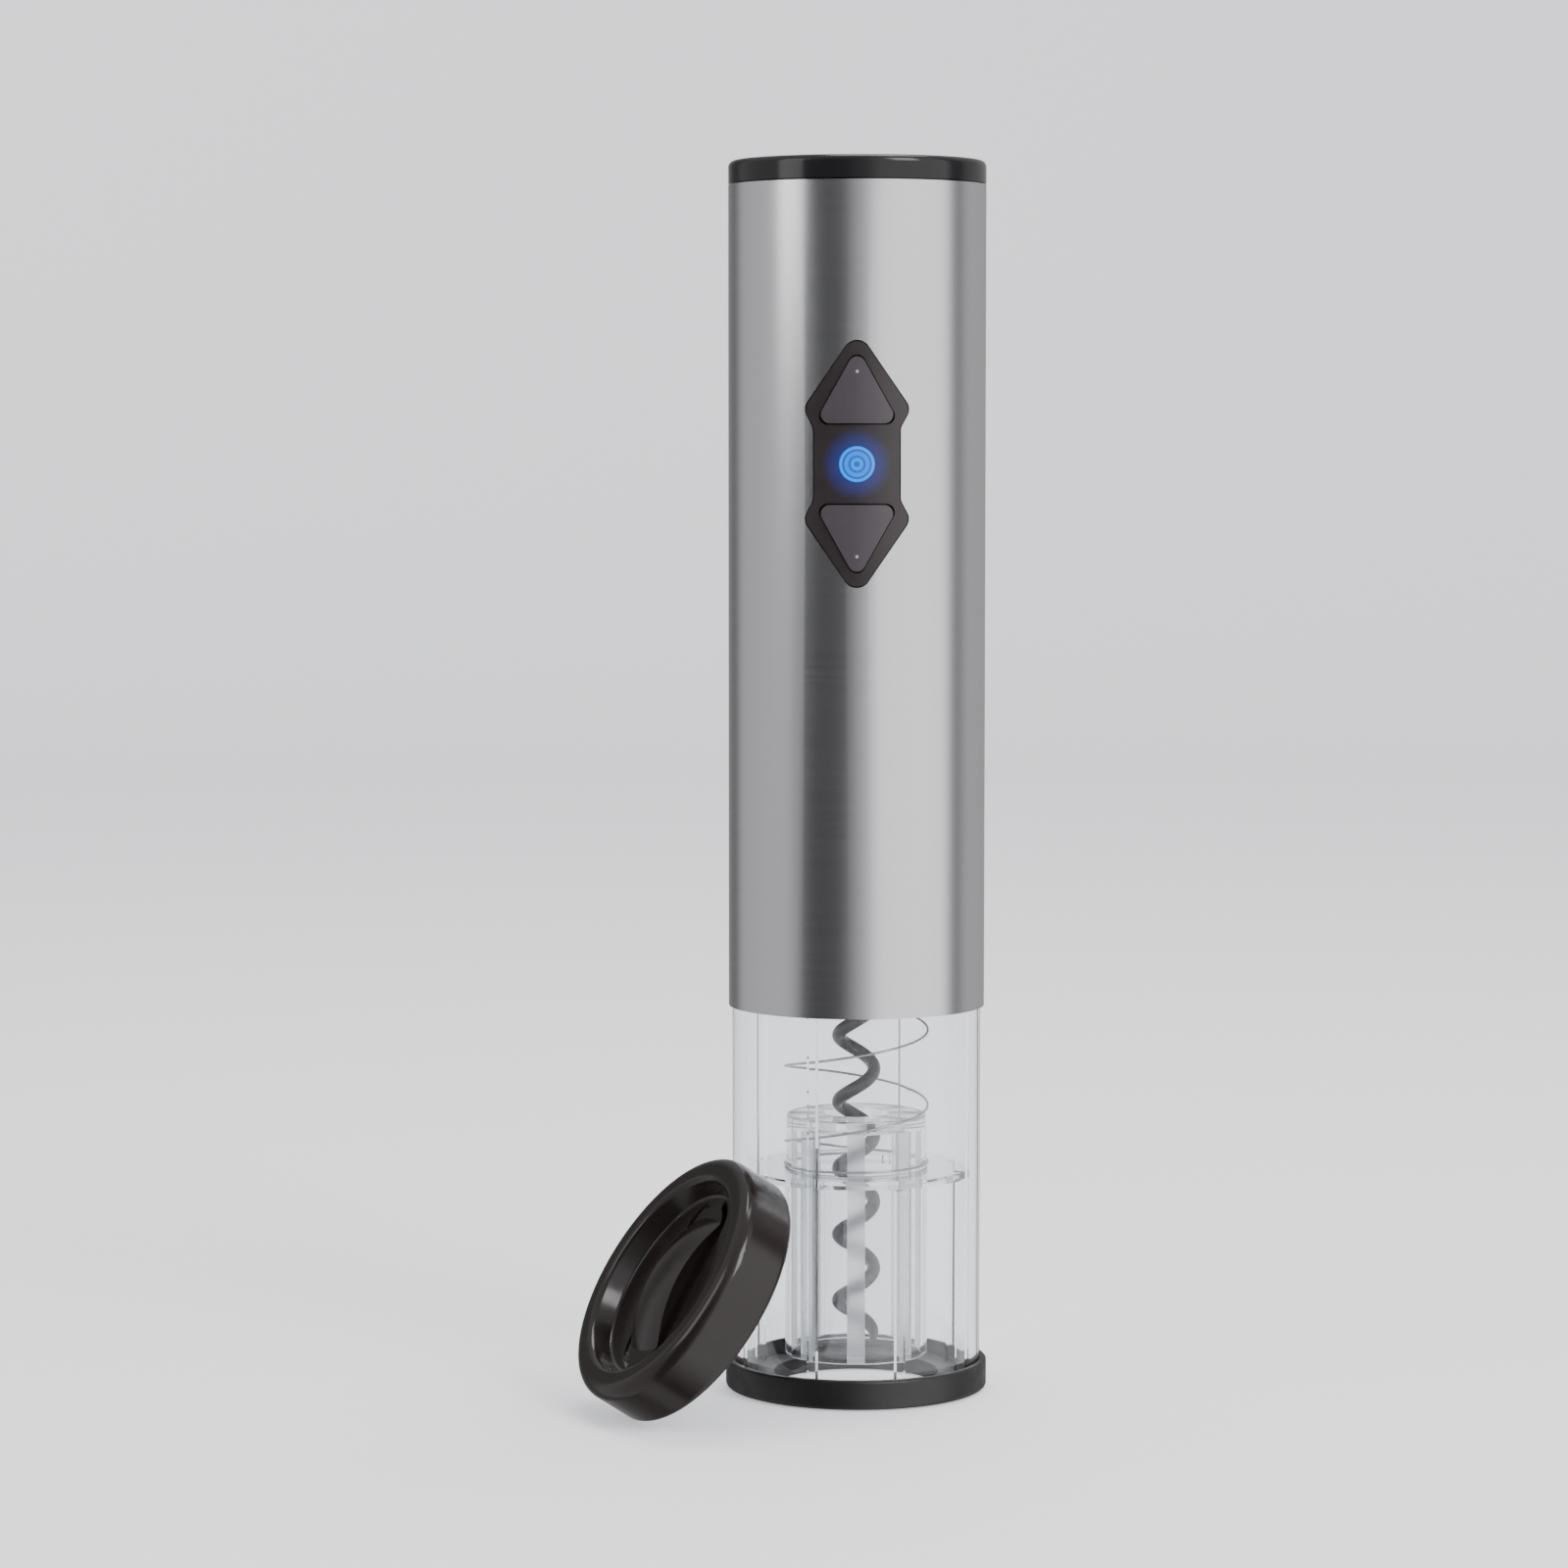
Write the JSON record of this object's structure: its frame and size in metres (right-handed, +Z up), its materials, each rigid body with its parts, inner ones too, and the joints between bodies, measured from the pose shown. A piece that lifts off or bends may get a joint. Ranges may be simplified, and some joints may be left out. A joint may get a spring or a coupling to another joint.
{
  "type": "electric wine opener",
  "caption": "Upright cylindrical cork puller with a motor-driven worm in a clear sleeve, a steel body with two buttons, and a separate leaning foil cutter.",
  "frame": {"origin": "centre of the base ring's bottom face, on the opener's axis, at the mouth of the bottle bore", "axes": "+Z up the opener's axis, buttons facing -Y, foil cutter at the front left (-X, -Y)"},
  "size_m": [0.076, 0.077, 0.23],
  "materials": {
    "brushed_sleeve": "satin stainless steel, brushed around the tube",
    "dark_gloss": "glossy dark grey moulded plastic",
    "base_satin": "satin dark grey moulded plastic",
    "clear_plastic": "clear polycarbonate",
    "clear_guide": "clear polycarbonate, lightly smoked",
    "worm_coat": "black non-stick coating on steel",
    "spring_steel": "drawn spring wire",
    "panel_plastic": "dark warm grey satin plastic",
    "button_plastic": "purple-grey satin plastic",
    "lens_blue": "translucent blue lens, lit from behind",
    "chassis_plastic": "grey glass-filled nylon",
    "gear_plastic": "natural acetal",
    "bare_steel": "zinc plated steel",
    "bronze": "sintered bronze",
    "brass_plate": "brass",
    "magnet_grey": "sintered ferrite",
    "copper_wire": "enamelled copper wire",
    "cell_jacket": "plain printed cell jacket",
    "seal_rubber": "soft rubber",
    "board_green": "solder mask",
    "switch_black": "moulded switch body",
    "lamp_white": "lamp package",
    "lead_jacket": "wire insulation",
    "foil_gloss": "glossy black-brown plastic",
    "foil_back": "satin black plastic",
    "wheel_steel": "hardened cutting steel"
  },
  "bodies": {
    "opener": {"aa_cells": "cell_jacket", "base_ring": "base_satin", "battery_holder": "chassis_plastic", "battery_leads": "lead_jacket", "body_sleeve": "brushed_sleeve", "cap_seal": "seal_rubber", "chassis_front": "chassis_plastic", "chassis_rear": "chassis_plastic", "chassis_screws": "bare_steel", "clear_sleeve": "clear_plastic", "contact_springs": "spring_steel", "control_panel": "panel_plastic", "gearbox_cover": "chassis_plastic", "gearbox_screws": "bare_steel", "guide_spring": "spring_steel", "indicator_led": "lamp_white", "indicator_lens": "lens_blue", "lower_contacts": "bare_steel", "motor_brushes": "copper_wire", "motor_bushes": "bronze", "motor_can": "bare_steel", "motor_end_bell": "chassis_plastic", "motor_leads": "lead_jacket", "motor_magnets": "magnet_grey", "motor_plate": "bare_steel", "output_bush": "bronze", "pcb": "board_green", "ring_gear": "gear_plastic", "tact_switches": "switch_black"},
    "guide": {"cork_guide": "clear_guide"},
    "worm_drive": {"worm": "worm_coat", "worm_hub": "chassis_plastic", "hub_pin": "bare_steel", "stage2_carrier": "bare_steel"},
    "first_carrier": {"stage1_carrier": "gear_plastic"},
    "rotor": {"rotor_core": "bare_steel", "rotor_windings": "copper_wire", "commutator": "copper_wire", "motor_shaft": "bare_steel", "sun_pinion": "brass_plate"},
    "top_contacts": {"cap_carrier": "chassis_plastic", "cap_contacts": "bare_steel"},
    "cap": {"battery_cap": "dark_gloss"},
    "release": {"release_button": "button_plastic", "release_plunger": "switch_black"},
    "extract": {"extract_button": "button_plastic", "extract_plunger": "switch_black"},
    "foil_cutter": {"foil_cutter_shell": "foil_gloss", "foil_cutter_cover": "foil_back", "wheel_pins": "bare_steel"},
    "planet_2_1": {"stage2_planet_1": "gear_plastic"},
    "planet_2_2": {"stage2_planet_2": "gear_plastic"},
    "planet_2_3": {"stage2_planet_3": "gear_plastic"},
    "planet_1_1": {"stage1_planet_1": "gear_plastic"},
    "planet_1_2": {"stage1_planet_2": "gear_plastic"},
    "planet_1_3": {"stage1_planet_3": "gear_plastic"},
    "wheel_1": {"cutter_wheel_1": "wheel_steel"},
    "wheel_2": {"cutter_wheel_2": "wheel_steel"},
    "wheel_3": {"cutter_wheel_3": "wheel_steel"},
    "wheel_4": {"cutter_wheel_4": "wheel_steel"}
  },
  "joints": [
    {"name": "worm_spin", "type": "hinge", "parent": "opener", "child": "worm_drive", "pos_m": [0, 0, 0.09], "axis": [0, 0, 1], "continuous": true},
    {"name": "first_carrier_spin", "type": "hinge", "parent": "opener", "child": "first_carrier", "pos_m": [0, 0, 0.126], "axis": [0, 0, 1], "continuous": true},
    {"name": "motor_spin", "type": "hinge", "parent": "opener", "child": "rotor", "pos_m": [0, 0, 0.15], "axis": [0, 0, 1], "continuous": true},
    {"name": "planet_2_1_spin", "type": "hinge", "parent": "worm_drive", "child": "planet_2_1", "pos_m": [0.00756, 0, 0.1216], "axis": [0, 0, 1], "continuous": true},
    {"name": "planet_2_2_spin", "type": "hinge", "parent": "worm_drive", "child": "planet_2_2", "pos_m": [-0.00378, 0.00655, 0.1216], "axis": [0, 0, 1], "continuous": true},
    {"name": "planet_2_3_spin", "type": "hinge", "parent": "worm_drive", "child": "planet_2_3", "pos_m": [-0.00378, -0.00655, 0.1216], "axis": [0, 0, 1], "continuous": true},
    {"name": "planet_1_1_spin", "type": "hinge", "parent": "first_carrier", "child": "planet_1_1", "pos_m": [0.00756, 0, 0.1297], "axis": [0, 0, 1], "continuous": true},
    {"name": "planet_1_2_spin", "type": "hinge", "parent": "first_carrier", "child": "planet_1_2", "pos_m": [-0.00378, 0.00655, 0.1297], "axis": [0, 0, 1], "continuous": true},
    {"name": "planet_1_3_spin", "type": "hinge", "parent": "first_carrier", "child": "planet_1_3", "pos_m": [-0.00378, -0.00655, 0.1297], "axis": [0, 0, 1], "continuous": true},
    {"name": "cork_guide_slide", "type": "slide", "parent": "opener", "child": "guide", "axis": [0, 0, 1], "range_m": [0, 0.04], "stiffness_N_per_m": 30, "springref_m": -0.02, "deforming": ["guide_spring"]},
    {"name": "release_button_press", "type": "slide", "parent": "opener", "child": "release", "axis": [0, 1, 0], "range_m": [0, 0.0005], "stiffness_N_per_m": 600, "springref_m": -0.0005},
    {"name": "extract_button_press", "type": "slide", "parent": "opener", "child": "extract", "axis": [0, 1, 0], "range_m": [0, 0.0005], "stiffness_N_per_m": 600, "springref_m": -0.0005},
    {"name": "cap_lift", "type": "slide", "parent": "opener", "child": "top_contacts", "axis": [0, 0, 1], "range_m": [0, 0.03]},
    {"name": "cap_twist", "type": "hinge", "parent": "top_contacts", "child": "cap", "pos_m": [0, 0, 0.228], "axis": [0, 0, 1], "range_deg": [0, 35]},
    {"name": "foil_cutter_slide", "type": "slide", "parent": "opener", "child": "foil_cutter", "axis": [-1, 0, 0], "range_m": [0, 0.06]},
    {"name": "cutter_wheel_1_spin", "type": "hinge", "parent": "foil_cutter", "child": "wheel_1", "pos_m": [-0.03159, -0.00965, 0.02949], "axis": [-0.7558, -0.3476, 0.5548], "continuous": true},
    {"name": "cutter_wheel_2_spin", "type": "hinge", "parent": "foil_cutter", "child": "wheel_2", "pos_m": [-0.0418, -0.01789, 0.01042], "axis": [-0.7558, -0.3476, 0.5548], "continuous": true},
    {"name": "cutter_wheel_3_spin", "type": "hinge", "parent": "foil_cutter", "child": "wheel_3", "pos_m": [-0.02746, -0.04359, 0.01385], "axis": [-0.7558, -0.3476, 0.5548], "continuous": true},
    {"name": "cutter_wheel_4_spin", "type": "hinge", "parent": "foil_cutter", "child": "wheel_4", "pos_m": [-0.01725, -0.03535, 0.03292], "axis": [-0.7558, -0.3476, 0.5548], "continuous": true}
  ],
  "couplings": [
    {"joint": "first_carrier_spin", "follows": "motor_spin", "ratio": 0.14286},
    {"joint": "worm_spin", "follows": "motor_spin", "ratio": 0.020408},
    {"joint": "planet_2_1_spin", "follows": "motor_spin", "ratio": -0.04898},
    {"joint": "planet_2_2_spin", "follows": "motor_spin", "ratio": -0.04898},
    {"joint": "planet_2_3_spin", "follows": "motor_spin", "ratio": -0.04898},
    {"joint": "planet_1_1_spin", "follows": "motor_spin", "ratio": -0.34286},
    {"joint": "planet_1_2_spin", "follows": "motor_spin", "ratio": -0.34286},
    {"joint": "planet_1_3_spin", "follows": "motor_spin", "ratio": -0.34286}
  ]
}
